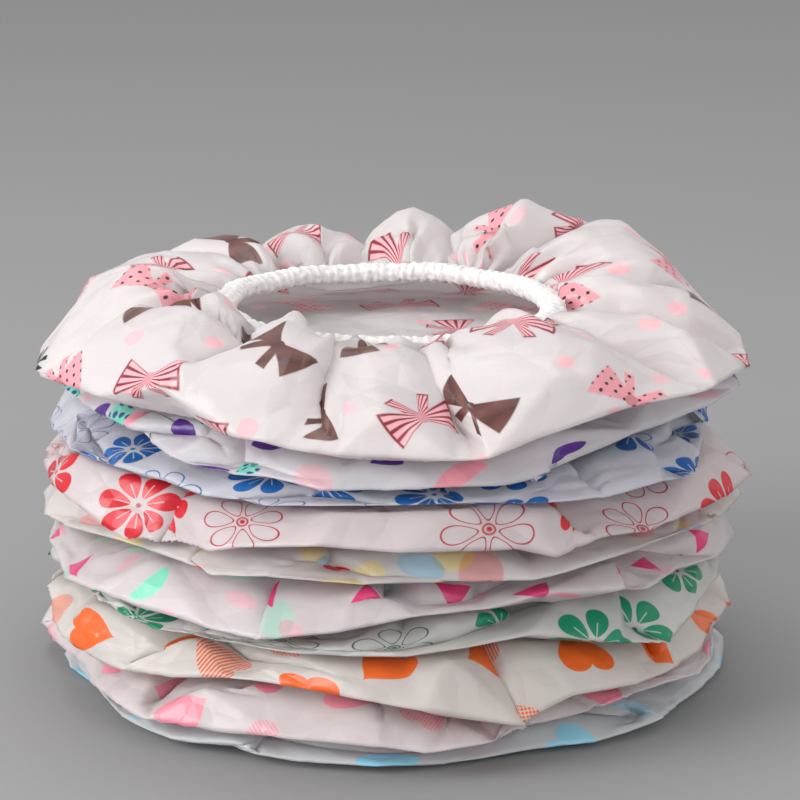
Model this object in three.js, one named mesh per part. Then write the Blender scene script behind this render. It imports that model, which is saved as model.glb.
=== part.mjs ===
// A stack of shower caps that lie with their openings up. Each cap is one disc of printed film. Its edge
// is gathered into a ruffled white binding, which is folded round a ring of elastic.
// Units are millimetres, +Z is up, and the origin is on the ground under the middle of the stack.
import * as THREE from "three";

// Prints from the bottom of the stack to the top, each with the tint that it gives its film.
const PRINTS = [
  { name: "sky_heart", tint: 0xdde8ee },
  { name: "rose_heart", tint: 0xeed9dc },
  { name: "orange_heart", tint: 0xf0dfd6 },
  { name: "green_daisy", tint: 0xe2e6e0 },
  { name: "mint_confetti", tint: 0xe9dee2 },
  { name: "sunny_confetti", tint: 0xeee6e2 },
  { name: "red_daisy", tint: 0xf0d8da },
  { name: "blue_daisy", tint: 0xdfe1f0 },
  { name: "garden", tint: 0xe6e2ea },
  { name: "bow", tint: 0xf4ebea },
];

// Film
const FILM_WALL = 0.8; // the real film is 0.1 thick, too thin for a solid
const CLEARANCE = 0.3; // between pieces that touch

// A cap's outline, as mean sizes
const RIM_RADIUS = 147; // outermost fold
const SEAT_INSET = 16; // from the rim in to where a cap bears on the one below it
const CROWN_INSET = 28; // from there in to the flat middle of the crown
const CAP_PITCH = 15; // from one crown to the next, where caps press on each other

// The uppermost cap, which nothing presses: heights above its own crown, and distances in from its rim
const TOP_RIM_HEIGHT = 10;
const TOP_SHOULDER_HEIGHT = 19;
const TOP_SHOULDER_INSET = 17;
const TOP_CREST_HEIGHT = 25;
const TOP_CREST_INSET = 43;
const TOP_VALLEY_HEIGHT = 16; // lowest place between two lobes of the crest
const TOP_BAND_HEIGHT = 18;

// Its lobes: how many go round, how high they stand at the crest, and the angle of one peak in degrees
const TOP_LOBES = [
  { count: 2, height: 4, peak: 25 },
  { count: 3, height: 3, peak: 52 },
  { count: 4, height: 3.5, peak: 42 },
  { count: 5, height: 4, peak: 17 },
  { count: 9, height: 2.5, peak: 21 },
];
const TOP_SHOULDER_SHARE = 0.5; // of the lobes that is left at the shoulder

// The elastic and the binding round it
const ELASTIC_RADIUS = 69; // middle of the ring
const ELASTIC_WIDTH = 5;
const ELASTIC_THICKNESS = 1.6;
const BINDING_RUFFLE = 3.6; // gathered strip on each side of the elastic
const NECK_LENGTH = 2; // film that leaves the binding straight
const GATHER_LENGTH = 12; // film that is still pleated past the neck
const GATHER_RISE = 0.15; // share of the climb from the binding to the shoulder that the pleats take
const TOP_GATHER_RISE = 0.6; // the same share in the uppermost cap

// Folds, as the distance to each side of the mean
const RIM_FOLD = 4.5;
const SEAT_FOLD = 3.5;
const GATHER_FOLD = 1.4;
const RUFFLE_FOLD = 0.5;
const BROAD_LOBES = 5;
const NARROW_LOBES = 9;
const BROAD_SHARE = 0.6;

const SEGMENTS = 30; // sides of every ring, an even number for the pleats
const FILM_ROUGHNESS = 0.35;
const BINDING_COLOUR = 0xf7f5f3;
const BINDING_ROUGHNESS = 0.9;
const ELASTIC_COLOUR = 0xe8dcc6;
const ELASTIC_ROUGHNESS = 0.7;

const TOP_LEVEL = PRINTS.length - 1;
const SEAT_RADIUS = RIM_RADIUS - SEAT_INSET;
const CROWN_RADIUS = SEAT_RADIUS - CROWN_INSET;
const TOP_CREST_RADIUS = RIM_RADIUS - TOP_CREST_INSET;
const BINDING_SLOT = ELASTIC_THICKNESS / 2 + CLEARANCE; // half the height inside the fold
const BINDING_HALF_HEIGHT = BINDING_SLOT + BINDING_RUFFLE;
const BINDING_SLOT_RADIUS = ELASTIC_RADIUS - ELASTIC_WIDTH / 2 - CLEARANCE;
const BINDING_INNER_RADIUS = BINDING_SLOT_RADIUS - BINDING_RUFFLE;
const FILM_EDGE_RADIUS = ELASTIC_RADIUS + ELASTIC_WIDTH / 2 + CLEARANCE;
const BINDING_OUTER_RADIUS = FILM_EDGE_RADIUS + BINDING_RUFFLE;
const NECK_RADIUS = BINDING_OUTER_RADIUS + NECK_LENGTH;
const PRESSED_BAND_HEIGHT = (FILM_WALL + CAP_PITCH) / 2;
const RIM_WALL = (FILM_WALL * SEAT_INSET) / (CAP_PITCH / 2); // film along a folded tip
const GOLDEN_TURN = Math.PI * (3 - Math.sqrt(5)); // turns the folds of each level against the last
const FIRST_TURN = GOLDEN_TURN; // the turn of the lowest level's folds

// How far a fold stands from its mean, from -1 to 1. Each level of the stack has its own lobes.
function fold(level, angle) {
  const turn = FIRST_TURN + level * GOLDEN_TURN;
  const broad = Math.cos(BROAD_LOBES * angle + turn);
  const narrow = Math.cos(NARROW_LOBES * angle - 2 * turn);
  return BROAD_SHARE * broad + (1 - BROAD_SHARE) * narrow;
}

// Pleats that go in and out from one side of a ring to the next, as 1 and -1.
function pleat(side) {
  return side % 2 ? -1 : 1;
}

// A ring of points. Radius and height are worked out from the angle and the side's number.
function ring(radius, height) {
  return Array.from({ length: SEGMENTS }, (_, side) => {
    const angle = (2 * Math.PI * side) / SEGMENTS;
    const r = radius(angle, side);
    return new THREE.Vector3(r * Math.cos(angle), r * Math.sin(angle), height(angle, side));
  });
}

// A ring of one radius and one height.
function plainRing(radius, height) {
  return ring(
    () => radius,
    () => height,
  );
}

// Joins rings into one skin. A ring of one point is a pole. A closed skin joins its last ring to its first.
// Every four-sided face is cut from its inner ring's first corner, so that skins that lie together agree.
function loft(rings, closed) {
  const starts = [];
  let count = 0;
  for (const points of rings) {
    starts.push(count);
    count += points.length;
  }
  const corner = (row, side) => starts[row] + (side % rings[row].length);
  const reach = (row) => Math.hypot(rings[row][0].x, rings[row][0].y);
  const faces = [];
  const rows = closed ? rings.length : rings.length - 1;
  for (let row = 0; row < rows; row++) {
    const next = (row + 1) % rings.length;
    const widens = reach(next) > reach(row);
    for (let side = 0; side < SEGMENTS; side++) {
      const [a, b] = [corner(row, side), corner(row, side + 1)];
      const [c, d] = [corner(next, side), corner(next, side + 1)];
      const cut = widens ? [a, d] : [b, c];
      const halves = [
        [a, b, cut[1]],
        [cut[0], d, c],
      ];
      faces.push(...halves.filter((half) => new Set(half).size === 3).flat());
    }
  }
  const skin = new THREE.BufferGeometry().setFromPoints(rings.flat());
  skin.setIndex(faces);
  skin.computeVertexNormals();
  return skin;
}

// Height of the seat under a level, above that level's crown.
function seatHeight(level, angle) {
  return SEAT_FOLD * (1 + fold(level, angle));
}

// Radius of a cap's rim.
function rimRadius(level, angle) {
  return RIM_RADIUS + RIM_FOLD * fold(level + 0.5, angle);
}

// How far a lobe of the uppermost cap stands from the mean.
function topLobe(angle) {
  const terms = TOP_LOBES.map((lobe) => {
    const peak = THREE.MathUtils.degToRad(lobe.peak);
    return lobe.height * Math.cos(lobe.count * (angle - peak));
  });
  return terms.reduce((sum, term) => sum + term, 0);
}

// A pressed cap's rim is one folded tip, half way between the seats below and above it.
function pressedSide(level) {
  const upper = (angle) => CAP_PITCH + seatHeight(level + 1, angle) - CLEARANCE;
  const middle = (angle) => (seatHeight(level, angle) + upper(angle)) / 2;
  return {
    rims: [{ radius: (angle) => rimRadius(level, angle), height: middle, sink: 0 }],
    shoulder: { radius: () => SEAT_RADIUS, height: upper },
    band: PRESSED_BAND_HEIGHT,
    rise: GATHER_RISE,
  };
}

// The uppermost cap stands up full: from its rim it rolls over a shoulder to a crest of lobes and valleys.
function fullSide(level) {
  const shoulder = (angle) => TOP_SHOULDER_HEIGHT + TOP_SHOULDER_SHARE * topLobe(angle);
  return {
    rims: [
      { radius: (angle) => rimRadius(level, angle), height: () => TOP_RIM_HEIGHT, sink: 0 },
      { radius: (angle) => rimRadius(level, angle) - TOP_SHOULDER_INSET, height: shoulder, sink: FILM_WALL },
    ],
    shoulder: {
      radius: () => TOP_CREST_RADIUS,
      height: (angle) => Math.max(TOP_VALLEY_HEIGHT, TOP_CREST_HEIGHT + topLobe(angle)),
    },
    band: TOP_BAND_HEIGHT,
    rise: TOP_GATHER_RISE,
  };
}

// The film: crown, rim, pleated top and the edge that enters the binding, then back inside by one wall.
function filmGeometry(level, side) {
  const { rims, shoulder, band, rise } = side;
  const seat = (lift) =>
    ring(
      () => SEAT_RADIUS,
      (angle) => seatHeight(level, angle) + lift,
    );
  const rim = (tip, inset, sink) =>
    ring(
      (angle) => tip.radius(angle) - inset,
      (angle) => tip.height(angle) - sink,
    );
  const top = (lift) => ring(shoulder.radius, (angle) => shoulder.height(angle) + lift);
  const climb = (angle) => rise * (shoulder.height(angle) - band);
  const gathers = (lift) =>
    ring(
      () => NECK_RADIUS + GATHER_LENGTH,
      (angle, number) => band + climb(angle) + GATHER_FOLD * pleat(number) + lift,
    );
  const outside = [
    [new THREE.Vector3(0, 0, 0)],
    plainRing(CROWN_RADIUS, 0),
    seat(0),
    ...rims.map((tip) => rim(tip, 0, 0)),
    top(0),
    gathers(0),
    plainRing(NECK_RADIUS, band + FILM_WALL / 2),
    plainRing(FILM_EDGE_RADIUS, band + FILM_WALL / 2),
  ];
  const inside = [
    [new THREE.Vector3(0, 0, FILM_WALL)],
    plainRing(CROWN_RADIUS, FILM_WALL),
    seat(FILM_WALL),
    ...rims.map((tip) => rim(tip, RIM_WALL, tip.sink)),
    top(-FILM_WALL),
    gathers(-FILM_WALL),
    plainRing(NECK_RADIUS, band - FILM_WALL / 2),
    plainRing(FILM_EDGE_RADIUS, band - FILM_WALL / 2),
  ];
  return loft([...outside, ...inside.reverse()], false);
}

// The binding: a ruffled strip in a fold, open on its outer side where the film's edge goes in.
function bindingGeometry() {
  const crimped = (radius, height) =>
    ring(
      (_, side) => radius + RUFFLE_FOLD * pleat(side) * (radius < ELASTIC_RADIUS ? -1 : 0),
      (_, side) => height + RUFFLE_FOLD * pleat(side) * Math.sign(height),
    );
  const nose = BINDING_HALF_HEIGHT / 2;
  return loft(
    [
      crimped(BINDING_INNER_RADIUS, -nose),
      crimped(ELASTIC_RADIUS, -BINDING_HALF_HEIGHT),
      plainRing(BINDING_OUTER_RADIUS, -BINDING_SLOT),
      plainRing(BINDING_SLOT_RADIUS, -BINDING_SLOT),
      plainRing(BINDING_SLOT_RADIUS, BINDING_SLOT),
      plainRing(BINDING_OUTER_RADIUS, BINDING_SLOT),
      crimped(ELASTIC_RADIUS, BINDING_HALF_HEIGHT),
      crimped(BINDING_INNER_RADIUS, nose),
    ],
    true,
  );
}

// The elastic: a flat band in the bottom of the binding's fold.
function elasticGeometry() {
  const [inner, outer] = [ELASTIC_RADIUS - ELASTIC_WIDTH / 2, ELASTIC_RADIUS + ELASTIC_WIDTH / 2];
  const half = ELASTIC_THICKNESS / 2;
  return loft(
    [plainRing(inner, -half), plainRing(outer, -half), plainRing(outer, half), plainRing(inner, half)],
    true,
  );
}

// A named piece with a finish of its own, at a height above its cap's crown.
function piece(name, geometry, height, finish) {
  const mesh = new THREE.Mesh(geometry, new THREE.MeshStandardMaterial({ metalness: 0, ...finish }));
  mesh.name = name;
  mesh.position.z = height;
  return mesh;
}

// One whole cap, at its level in the stack.
function cap(print, level) {
  const side = level === TOP_LEVEL ? fullSide(level) : pressedSide(level);
  const group = new THREE.Group();
  group.position.z = level * CAP_PITCH;
  group.add(
    piece(`${print.name}_cap_film`, filmGeometry(level, side), 0, {
      color: print.tint,
      roughness: FILM_ROUGHNESS,
    }),
    piece(`${print.name}_cap_binding`, bindingGeometry(), side.band, {
      color: BINDING_COLOUR,
      roughness: BINDING_ROUGHNESS,
    }),
    piece(`${print.name}_cap_elastic`, elasticGeometry(), side.band, {
      color: ELASTIC_COLOUR,
      roughness: ELASTIC_ROUGHNESS,
    }),
  );
  return group;
}

const stack = new THREE.Group();
PRINTS.forEach((print, level) => stack.add(cap(print, level)));

export default stack;
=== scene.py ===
"""Dresses a stack of ten shower caps: gathered film, prints, crimped bindings and stitches."""

import logging
import math
from dataclasses import dataclass
from enum import Enum
from typing import Callable, Mapping, Optional, Sequence, Union

import bmesh
import bpy
import numpy as np
from mathutils import Matrix, Vector, geometry, noise


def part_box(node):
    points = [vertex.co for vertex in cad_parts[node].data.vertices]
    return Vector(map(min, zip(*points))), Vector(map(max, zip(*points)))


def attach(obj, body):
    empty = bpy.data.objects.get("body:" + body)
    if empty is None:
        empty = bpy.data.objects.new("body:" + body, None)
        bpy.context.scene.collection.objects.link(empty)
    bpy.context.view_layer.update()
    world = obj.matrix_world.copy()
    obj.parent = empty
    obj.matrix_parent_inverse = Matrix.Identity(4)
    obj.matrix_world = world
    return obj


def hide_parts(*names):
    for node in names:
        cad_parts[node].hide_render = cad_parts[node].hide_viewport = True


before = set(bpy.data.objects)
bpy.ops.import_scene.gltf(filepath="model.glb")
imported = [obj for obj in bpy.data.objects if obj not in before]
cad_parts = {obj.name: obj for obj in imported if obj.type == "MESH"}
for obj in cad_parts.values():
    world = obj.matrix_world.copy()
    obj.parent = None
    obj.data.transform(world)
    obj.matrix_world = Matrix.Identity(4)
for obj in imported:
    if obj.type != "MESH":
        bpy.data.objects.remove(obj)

logging.basicConfig(level=logging.INFO, format="%(relativeCreated)d ms %(message)s")
LOG = logging.getLogger("shower_caps")

MM = 0.001
TURN = 2 * math.pi
FLAT_MAP = "flat"
PIT_SHADE_LAYER = "pit"
TINY = 1e-9
SAME_PLACE = 1e-6

Colour = tuple[float, float, float, float]


def colour(code: int) -> Colour:
    """Turns a written colour into linear light.

    Args:
        code: red, green and blue as one number, such as 0xF4F1F2.

    Returns:
        The colour that a shader socket takes, with full alpha.
    """
    parts = [(code >> shift & 255) / 255 for shift in (16, 8, 0)]
    light = [p / 12.92 if p <= 0.04045 else ((p + 0.055) / 1.055) ** 2.4 for p in parts]
    return (light[0], light[1], light[2], 1.0)


def lengths(vectors: np.ndarray) -> np.ndarray:
    """The length of every vector along the last axis."""
    return np.sqrt(np.einsum("...i,...i->...", vectors, vectors))


def spin_round(made: bmesh.types.BMesh, steps: int) -> None:
    """Spins all that a bmesh holds once round the upright axis.

    Args:
        made: the bmesh with the line or the section to spin.
        steps: the number of columns to make.
    """
    bmesh.ops.spin(
        made,
        geom=made.verts[:] + made.edges[:],
        cent=(0, 0, 0),
        axis=(0, 0, 1),
        angle=TURN,
        steps=steps,
        use_merge=True,
    )


def as_mesh(name: str, made: bmesh.types.BMesh) -> bpy.types.Mesh:
    """Turns a bmesh into a mesh and frees it.

    Args:
        name: the mesh's name.
        made: the finished bmesh.

    Returns:
        The mesh.
    """
    mesh = bpy.data.meshes.new(name)
    made.to_mesh(mesh)
    made.free()
    return mesh


def placed(name: str, mesh: bpy.types.Mesh) -> bpy.types.Object:
    """Puts a mesh into the scene.

    Args:
        name: the object's name.
        mesh: its mesh.

    Returns:
        The object.
    """
    thing = bpy.data.objects.new(name, mesh)
    bpy.context.collection.objects.link(thing)
    return thing


class Print(Enum):
    """The prints, from the lowest cap up, named as the frame names its caps."""

    SKY_HEART = "sky_heart"
    ROSE_HEART = "rose_heart"
    ORANGE_HEART = "orange_heart"
    GREEN_DAISY = "green_daisy"
    MINT_CONFETTI = "mint_confetti"
    SUNNY_CONFETTI = "sunny_confetti"
    RED_DAISY = "red_daisy"
    BLUE_DAISY = "blue_daisy"
    GARDEN = "garden"
    BOW = "bow"

    @property
    def body(self) -> str:
        """The frame's body for the cap with this print."""
        return f"{self.value}_cap"

    def node(self, piece: str) -> str:
        """The frame's node for one piece of the cap with this print."""
        return f"{self.body}_{piece}"


class Value:
    """A shader socket that takes part in arithmetic."""

    def __init__(self, graph: "Graph", socket: bpy.types.NodeSocket) -> None:
        """Keeps the socket and the graph that it belongs to."""
        self.graph = graph
        self.socket = socket

    def maths(self, operation: str, *others: "Operand", clamp: bool = False) -> "Value":
        """Feeds this value and the others to a Math node.

        Args:
            operation: the Math node's operation.
            others: the values after this one.
            clamp: whether the result is kept from 0 to 1.

        Returns:
            The node's result.
        """
        return self.graph.maths(operation, self, *others, clamp=clamp)

    def __add__(self, other: "Operand") -> "Value":
        """This value plus another."""
        return self.maths("ADD", other)

    def __radd__(self, other: "Operand") -> "Value":
        """Another value plus this one."""
        return self.graph.maths("ADD", other, self)

    def __sub__(self, other: "Operand") -> "Value":
        """This value less another."""
        return self.maths("SUBTRACT", other)

    def __rsub__(self, other: "Operand") -> "Value":
        """Another value less this one."""
        return self.graph.maths("SUBTRACT", other, self)

    def __mul__(self, other: "Operand") -> "Value":
        """This value times another."""
        return self.maths("MULTIPLY", other)

    def __rmul__(self, other: "Operand") -> "Value":
        """Another value times this one."""
        return self.graph.maths("MULTIPLY", other, self)

    def __truediv__(self, other: "Operand") -> "Value":
        """This value over another."""
        return self.maths("DIVIDE", other)

    def __rtruediv__(self, other: "Operand") -> "Value":
        """Another value over this one."""
        return self.graph.maths("DIVIDE", other, self)

    def __neg__(self) -> "Value":
        """This value with its sign changed."""
        return self.maths("MULTIPLY", -1.0)

    def __abs__(self) -> "Value":
        """This value without its sign."""
        return self.maths("ABSOLUTE")

    def larger(self, other: "Operand") -> "Value":
        """The larger of this value and another."""
        return self.maths("MAXIMUM", other)

    def hypot(self, other: "Value") -> "Value":
        """The distance that this value and another, at right angles to it, make."""
        return (self * self + other * other).maths("SQRT")

    def over(self, edge: "Operand") -> "Value":
        """1 where this value is over the edge, else 0."""
        return self.maths("GREATER_THAN", edge)

    def within(self, edge: "Operand", soft: float) -> "Value":
        """1 where this value is under the edge, falling to 0 across a soft border."""
        return (edge - self).maths("MULTIPLY_ADD", 1 / soft, 0.5, clamp=True)

    def wrapped(self, pitch: float) -> "Value":
        """This value's distance from the middle of its pitch, from minus to plus half a pitch."""
        return (self / pitch).maths("FRACT") * pitch - pitch / 2


Operand = Union[Value, float]


class Graph:
    """The node tree of one material, grown by expressions."""

    def __init__(self, name: str) -> None:
        """Makes an empty material of that name."""
        self.material = bpy.data.materials.new(name)
        self.material.use_nodes = True
        self.tree = self.material.node_tree
        self.tree.nodes.clear()

    def node(
        self,
        kind: str,
        settings: Mapping[str, object],
        sockets: Mapping[Union[str, int], object],
    ) -> bpy.types.Node:
        """Adds any node.

        Args:
            kind: the node's type.
            settings: its properties, which are set first.
            sockets: what each input gets, a Value to link or a constant.

        Returns:
            The new node.
        """
        made = self.tree.nodes.new(kind)
        for key, setting in settings.items():
            setattr(made, key, setting)
        for key, given in sockets.items():
            if isinstance(given, Value):
                self.tree.links.new(given.socket, made.inputs[key])
            else:
                made.inputs[key].default_value = given
        return made

    def value(
        self,
        kind: str,
        settings: Mapping[str, object],
        sockets: Mapping[Union[str, int], object],
        output: Union[str, int] = 0,
    ) -> Value:
        """Adds any node and gives one of its outputs.

        Args:
            kind: the node's type.
            settings: its properties, which are set first.
            sockets: what each input gets, a Value to link or a constant.
            output: the output's name or place.

        Returns:
            That output, ready for arithmetic.
        """
        return Value(self, self.node(kind, settings, sockets).outputs[output])

    def maths(self, operation: str, *terms: Operand, clamp: bool = False) -> Value:
        """Adds a Math node.

        Args:
            operation: the node's operation.
            terms: its inputs, in order.
            clamp: whether the result is kept from 0 to 1.

        Returns:
            The node's result.
        """
        settings = {"operation": operation, "use_clamp": clamp}
        return self.value("ShaderNodeMath", settings, dict(enumerate(terms)))

    def vector(self, operation: str, *terms: object) -> Value:
        """Adds a Vector Math node.

        Args:
            operation: the node's operation.
            terms: its vector inputs, in order.

        Returns:
            The node's vector.
        """
        return self.value("ShaderNodeVectorMath", {"operation": operation}, dict(enumerate(terms)))

    def scaled(self, at: Value, share: float) -> Value:
        """A vector times a number."""
        return self.value("ShaderNodeVectorMath", {"operation": "SCALE"}, {0: at, "Scale": share})

    def parts(self, at: Value) -> tuple[Value, Value, Value]:
        """The three parts of a vector or a colour."""
        x, y, z = self.node("ShaderNodeSeparateXYZ", {}, {0: at}).outputs
        return Value(self, x), Value(self, y), Value(self, z)

    def joined(self, x: Operand, y: Operand, z: Operand) -> Value:
        """A vector made of three parts."""
        return self.value("ShaderNodeCombineXYZ", {}, {0: x, 1: y, 2: z})

    def blend(self, low: object, high: object, share: Operand) -> Value:
        """Mixes two colours.

        Args:
            low: the colour at share 0.
            high: the colour at share 1.
            share: how much of the second colour shows.

        Returns:
            The mixed colour.
        """
        return self.value("ShaderNodeMix", {"data_type": "RGBA"}, {0: share, 6: low, 7: high}, 2)

    def bump(self, height: Value, strength: float, distance: float) -> Value:
        """Turns a height into a normal.

        Args:
            height: the height, about from 0 to 1.
            strength: how much of it shows.
            distance: the depth in metres that a height of 1 stands for.

        Returns:
            The normal for a shader.
        """
        sockets = {"Height": height, "Strength": strength, "Distance": distance}
        return self.value("ShaderNodeBump", {}, sockets)

    def finish(self, shader: bpy.types.Node) -> bpy.types.Material:
        """Makes a shader node the surface of the material.

        Args:
            shader: the last shader node.

        Returns:
            The finished material.
        """
        out = self.node("ShaderNodeOutputMaterial", {}, {})
        self.tree.links.new(shader.outputs[0], out.inputs["Surface"])
        return self.material


@dataclass(frozen=True)
class Spot:
    """One place in a print's layout, with the metres from its middle and three chances of its own."""

    x: Value
    y: Value
    choice: Value
    chance: Value
    tone: Value

    @property
    def reach(self) -> Value:
        """The distance from the middle."""
        return self.x.hypot(self.y)

    @property
    def angle(self) -> Value:
        """The angle round the middle."""
        return self.y.maths("ARCTAN2", self.x)


class Ink:
    """The colour of the film with its print, and how much of it the print covers."""

    def __init__(self, graph: Graph, film: Colour) -> None:
        """Starts with bare film."""
        self.graph = graph
        self.colour: object = film
        self.cover: Operand = 0.0

    def lay(self, mask: Value, tint: object) -> None:
        """Prints one colour where the mask is 1.

        Args:
            mask: where the ink goes.
            tint: the ink's colour.
        """
        self.colour = self.graph.blend(self.colour, tint, mask)
        self.cover = mask.larger(self.cover)


EDGE = 0.3 * MM


class Motif:
    """A figure that a print repeats, with borders as soft as the edge value."""

    def draw(self, ink: Ink, spot: Spot, shown: Value) -> None:
        """Prints the figure at a spot.

        Args:
            ink: the print so far.
            spot: the place in the layout.
            shown: 1 where the spot holds a figure.
        """
        raise NotImplementedError


@dataclass(frozen=True)
class Dot(Motif):
    """A plain round dot."""

    radius: float
    tint: int
    spread: float = 0.25

    def draw(self, ink: Ink, spot: Spot, shown: Value) -> None:
        """Prints a dot of a size that varies a little."""
        size = self.radius * (1 - self.spread + self.spread * spot.tone)
        ink.lay(spot.reach.within(size, EDGE) * shown, colour(self.tint))


@dataclass(frozen=True)
class Heart(Motif):
    """A plump heart, filled, ruled or dotted."""

    radius: float
    tint: int
    pale: int
    rule: float = 1.7 * MM
    line: float = 0.27
    dot: float = 0.4
    ruled_from: float = 0.52
    dotted_from: float = 0.78
    paler: float = 0.35
    squash: float = 1.12
    cleft: float = 0.72
    drop: float = 0.22

    def draw(self, ink: Ink, spot: Spot, shown: Value) -> None:
        """Prints a heart, and rules or dots every second one.

        Args:
            ink: the print so far.
            spot: the place in the layout.
            shown: 1 where the spot holds a figure.
        """
        x = spot.x / self.radius
        y = spot.y / self.radius
        lobe = y * self.squash - self.cleft * abs(x).maths("SQRT") + self.drop
        inside = (x * x + lobe * lobe).within(1.0, 2 * EDGE / self.radius) * shown
        ruled = abs(spot.y.wrapped(self.rule)).within(self.line * self.rule, EDGE)
        dots = self.dotted(spot)
        fancy = spot.choice.over(self.ruled_from)
        dotted = spot.choice.over(self.dotted_from)
        pattern = ruled + (dots - ruled) * dotted
        share = 1 + (pattern - 1) * fancy
        tint = ink.graph.blend(colour(self.tint), colour(self.pale), spot.tone * self.paler)
        ink.lay(inside * share, tint)

    def dotted(self, spot: Spot) -> Value:
        """A fine grid of dots inside the heart."""
        x = spot.x.wrapped(self.rule)
        y = spot.y.wrapped(self.rule)
        return x.hypot(y).within(self.dot * self.rule, EDGE)


@dataclass(frozen=True)
class Daisy(Motif):
    """A flower with round petals, filled or drawn in outline."""

    radius: float
    petals: int
    fill: int
    line: int
    filled_from: float = 0.45
    petal_middle: float = 0.6
    petal_half: float = 0.4
    petal_root: float = 0.07
    petal_spread: float = 0.3
    six_petals: float = 0.52
    vein: float = 0.07
    vein_end: float = 0.62
    outline: float = 0.055
    outline_at: float = 0.93
    eye: float = 0.13
    eye_line: float = 0.028
    pupil: float = 0.07

    def draw(self, ink: Ink, spot: Spot, shown: Value) -> None:
        """Prints a filled flower or an outlined one.

        Args:
            ink: the print so far.
            spot: the place in the layout.
            shown: 1 where the spot holds a figure.
        """
        sector = TURN / self.petals
        turned = spot.angle.wrapped(sector)
        reach = spot.reach / self.radius
        along = (reach * turned.maths("COSINE") - self.petal_middle) / self.petal_half
        share = math.pi / self.petals / self.six_petals
        across = reach * turned.maths("SINE") / (self.petal_root + self.petal_spread * reach * share)
        petal = along.hypot(across)
        soft = 2.6 * EDGE / self.radius
        filled = spot.choice.over(self.filled_from)
        vein = abs(across).within(self.vein, soft) * reach.within(self.vein_end, soft)
        body = petal.within(1.0, soft) * (1 - vein)
        rim = abs(petal - self.outline_at).within(self.outline, soft)
        eye = abs(reach - self.eye).within(self.eye_line, soft)
        ink.lay(body * filled * shown, colour(self.fill))
        ink.lay(rim.larger(eye) * (1 - filled) * shown, colour(self.line))
        ink.lay(reach.within(self.pupil, soft) * shown, colour(self.line))


@dataclass(frozen=True)
class Wedge(Motif):
    """A soft triangle, as cut from paper."""

    radius: float
    tint: int
    side_x: float = 0.866
    side_y: float = 0.5

    def draw(self, ink: Ink, spot: Spot, shown: Value) -> None:
        """Prints a triangle."""
        side = abs(spot.x) * self.side_x + spot.y * self.side_y
        ink.lay(side.larger(-spot.y).within(self.radius, EDGE) * shown, colour(self.tint))


@dataclass(frozen=True)
class Pebble(Motif):
    """A smooth pebble, longer than it is wide."""

    length: float
    width: float
    tint: int
    cut_from: float = 0.5
    cut_at: float = 0.1

    def draw(self, ink: Ink, spot: Spot, shown: Value) -> None:
        """Prints a pebble that is cut straight on one side where its chance is high.

        Args:
            ink: the print so far.
            spot: the place in the layout.
            shown: 1 where the spot holds a figure.
        """
        x = spot.x / self.length
        y = spot.y / self.width
        cut = (y * -1 - self.cut_at) * spot.chance.over(self.cut_from)
        soft = 2 * EDGE / self.width
        ink.lay(x.hypot(y).within(1.0, soft) * cut.within(0.0, soft) * shown, colour(self.tint))


@dataclass(frozen=True)
class Leaf(Motif):
    """A pointed leaf on a thin curved stem."""

    length: float
    width: float
    tint: int
    stem: int
    thin: float = 0.35 * MM
    curve: float = 0.35
    stem_half: float = 0.9

    def draw(self, ink: Ink, spot: Spot, shown: Value) -> None:
        """Prints the stem and the leaf at its end.

        Args:
            ink: the print so far.
            spot: the place in the layout.
            shown: 1 where the spot holds a figure.
        """
        bow = (self.length**2 + self.width**2) / (2 * self.width)
        side = abs(spot.y) + (bow - self.width)
        blade = spot.x.hypot(side).within(bow, EDGE)
        bend = spot.y - spot.x * spot.x * (self.curve / self.length)
        half = self.length * self.stem_half
        reach = abs(spot.x + half).within(half, EDGE)
        ink.lay(abs(bend).within(self.thin, EDGE) * reach * shown, colour(self.stem))
        ink.lay(blade * shown, colour(self.tint))


@dataclass(frozen=True)
class Bud(Motif):
    """An egg with spots."""

    length: float
    width: float
    tint: int
    spots: int
    pitch: float = 7.0 * MM
    closer: float = 0.8
    mark: float = 1.9 * MM
    taper: float = 0.25

    def draw(self, ink: Ink, spot: Spot, shown: Value) -> None:
        """Prints the egg, then its spots.

        Args:
            ink: the print so far.
            spot: the place in the layout.
            shown: 1 where the spot holds a figure.
        """
        x = spot.x / self.length
        y = spot.y / (self.width * (1 - self.taper * x))
        egg = x.hypot(y).within(1.0, 2 * EDGE / self.width) * shown
        u = spot.x.wrapped(self.pitch)
        v = spot.y.wrapped(self.pitch * self.closer)
        ink.lay(egg, colour(self.tint))
        ink.lay(egg * u.hypot(v).within(self.mark, EDGE), colour(self.spots))


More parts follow.
